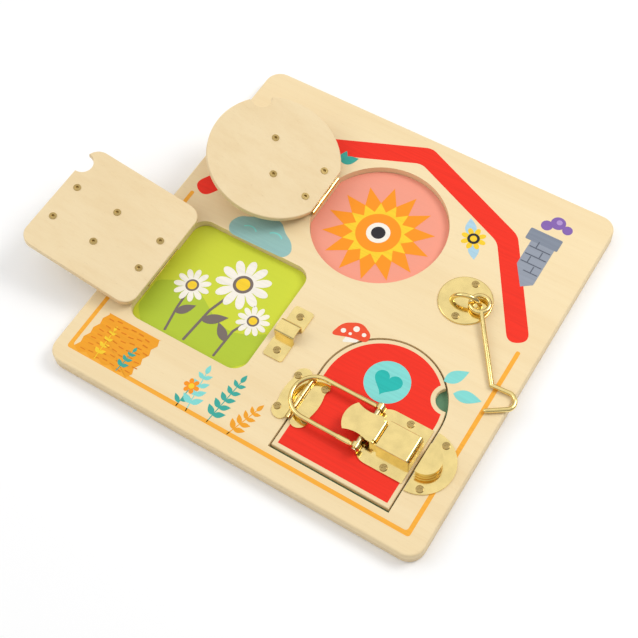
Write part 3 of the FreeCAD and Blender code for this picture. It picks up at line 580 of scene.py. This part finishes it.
def daisy_picture():
    """White daisies over a darker green hill."""
    hill = [(31, 68), (31, 92)]
    hill += [(31 + 95.6 * n / 20, 92 + 9 * math.sin(0.33 * n)) for n in range(1, 21)]
    hill += [(126.6, 68), (117, 57.2), (41, 57.2)]
    picture_print("green_hill", [soft(hill, 3)],
                  ink_for("lime_dark", LIME_DARK, CARD_GRAIN), 1)
    stems = [band([(76, 60), (79, 90), (88, 118)], 2.0),
             band([(102, 60), (103, 84), (110, 100)], 1.8),
             band([(60, 60), (57, 80), (56, 100)], 1.8),
             leaf_shape(78, 80, 20, 8, math.radians(35)),
             leaf_shape(103, 74, 17, 7, math.radians(140)),
             leaf_shape(58, 76, 16, 7, math.radians(50))]
    picture_print("daisy_stems", stems, ink_for("taupe", TAUPE, CARD_GRAIN), 3)
    daisy("large_daisy", 88, 120, 21)
    daisy("right_daisy", 111, 98, 12.5, 0.3)
    daisy("left_daisy", 56, 101, 14, 0.6)


def sun_picture():
    """A sun with two rings of rays round a plain disc."""
    x, y = 150, 208
    orange = ink_for("sun_orange", SUN_ORANGE, CARD_GRAIN)
    inks = (("sun_rays", star_shape(x, y, 27, 42, 14), orange),
            ("sun_inner_rays", star_shape(x, y, 19, 27, 14, math.pi / 14),
             ink_for("petal_yellow", SUN_YELLOW)),
            ("sun_disc", circle(x, y, 17, 56), orange),
            ("sun_ring", circle(x, y, 9, 40), ink_for("cream", CREAM, CARD_GRAIN)),
            ("sun_middle", circle(x, y, 5.4, 32), ink_for("charcoal", CHARCOAL)))
    for layer, (name, outline, colour) in enumerate(inks, start=2):
        picture_print(name, [outline], colour, layer)


def barn_door_print():
    """Red arch inside a margin of bare wood, drawn in round the finger notch."""
    x, foot, spring, radius = 221.5, 25.6, 89.0, 42.4
    notch_x, notch_y, notch_radius = 262.2, 111.0, 12.2
    bite_steps = 12
    heart_x, heart_y = 219.6, 101.4

    def from_notch(point):
        angle = math.atan2(point[1] - notch_y, point[0] - notch_x)
        return angle % (2 * math.pi)

    arch = [(x + radius, foot), (x + radius, spring)]
    for degrees in range(2, 180, 2):
        angle = math.radians(degrees)
        arch.append((x + radius * math.cos(angle), spring + radius * math.sin(angle)))
    arch += [(x - radius, spring), (x - radius, foot)]
    outside = [math.hypot(px - notch_x, py - notch_y) > notch_radius for px, py in arch]
    first = outside.index(False)
    last = len(outside) - 1 - outside[::-1].index(False)
    start, end = from_notch(arch[first - 1]), from_notch(arch[last + 1])
    bite = []
    for n in range(bite_steps + 1):
        angle = start + (end - start) * n / bite_steps
        bite.append((notch_x + notch_radius * math.cos(angle),
                     notch_y + notch_radius * math.sin(angle)))
    outline = arch[:first] + bite + arch[last + 1:]
    door_print("barn_door_red", [outline], ink_for("roof_red", BARN_RED))
    door_print("heart_ground", [circle(heart_x, 101.8, 16.4, 64)],
               ink_for("teal_pale", TEAL_PALE), layer=2)
    door_print("heart_mark", [heart_shape(heart_x, heart_y, 20.5)], ink_for("teal", TEAL), layer=3)


# Stage, lights and camera

def stage_material():
    """Matt white floor, lit by the softboxes and the sky."""
    material, tree, shader = new_material("stage_white")
    shader.inputs["Base Color"].default_value = (*FLOOR_WHITE, 1)
    shader.inputs["Roughness"].default_value = 0.9
    return material


def make_stage():
    mesh = bpy.data.meshes.new("studio_floor")
    builder = bmesh.new()
    corners = [(-6, -6), (6, -6), (6, 6), (-6, 6)]
    builder.faces.new([builder.verts.new((x, y, -0.0003)) for x, y in corners])
    builder.to_mesh(mesh)
    builder.free()
    floor = bpy.data.objects.new("studio_floor", mesh)
    bpy.context.scene.collection.objects.link(floor)
    mesh.materials.append(stage_material())


def make_world():
    """White to the camera; as light, a sky that dims to the horizon and to one side."""
    world = bpy.data.worlds.new("studio_world")
    bpy.context.scene.world = world
    world.use_nodes = True
    tree = world.node_tree
    background = tree.nodes["Background"]
    path = tree.nodes.new("ShaderNodeLightPath")
    seen = maths(tree, "MAXIMUM", path.outputs["Is Camera Ray"], path.outputs["Is Transmission Ray"])
    direction = tree.nodes.new("ShaderNodeSeparateXYZ")
    coordinates = tree.nodes.new("ShaderNodeTexCoord")
    tree.links.new(coordinates.outputs["Generated"], direction.inputs["Vector"])
    dome = remap(tree, direction.outputs["Z"], 0.05, 0.75, 0.20, 0.98)
    sides = remap(tree, direction.outputs["X"], -0.10, 0.60, 1.0, 0.55)
    background.inputs["Color"].default_value = (1, 1, 1, 1)
    shaded = maths(tree, "MULTIPLY", dome, sides)
    tree.links.new(maths(tree, "MAXIMUM", shaded, seen), background.inputs["Strength"])


def softbox(name, place, aim, size, power):
    light = bpy.data.lights.new(name, "AREA")
    light.shape = "RECTANGLE"
    light.size, light.size_y = size
    light.energy = power
    lamp = bpy.data.objects.new(name, light)
    bpy.context.scene.collection.objects.link(lamp)
    lamp.location = place
    lamp.rotation_euler = (Vector(aim) - Vector(place)).to_track_quat("-Z", "Y").to_euler()


def make_lights():
    softbox("key_softbox", (0.75, 0.75, 1.25), (0, 0, 0), (0.7, 0.7), 10.5)
    softbox("fill_softbox", (-1.1, -0.5, 1.0), (0, 0, 0), (0.9, 0.9), 4)


def make_camera():
    """The photograph's viewpoint, fitted to the board's corners."""
    azimuth, elevation, roll = (
        math.radians(angle) for angle in (CAMERA_AZIMUTH, CAMERA_ELEVATION, CAMERA_ROLL))
    back = Vector((math.sin(azimuth) * math.cos(elevation),
                   -math.cos(azimuth) * math.cos(elevation),
                   math.sin(elevation)))
    right = (-back).cross(Vector((0, 0, 1))).normalized()
    up = right.cross(-back)
    image_right = right * math.cos(roll) + up * math.sin(roll)
    image_up = -right * math.sin(roll) + up * math.cos(roll)
    turn = Matrix((image_right, image_up, back)).transposed()
    camera_data = bpy.data.cameras.new("photo_camera")
    camera = bpy.data.objects.new("photo_camera", camera_data)
    bpy.context.scene.collection.objects.link(camera)
    camera.matrix_world = Matrix.Translation(CAMERA_PLACE) @ turn.to_4x4()
    camera_data.sensor_width = SENSOR_MM
    camera_data.lens = FOCAL_PIXELS * SENSOR_MM / IMAGE_PIXELS
    bpy.context.scene.camera = camera


def main():
    dress_cad_nodes()
    house_lines()
    chimney()
    straw_patch()
    meadow()
    cloud()
    toadstool()
    small_flower()
    smoke_puff()
    daisy_picture()
    sun_picture()
    barn_door_print()
    make_stage()
    make_world()
    make_lights()
    make_camera()
    bpy.context.scene.view_settings.view_transform = "Standard"


main()
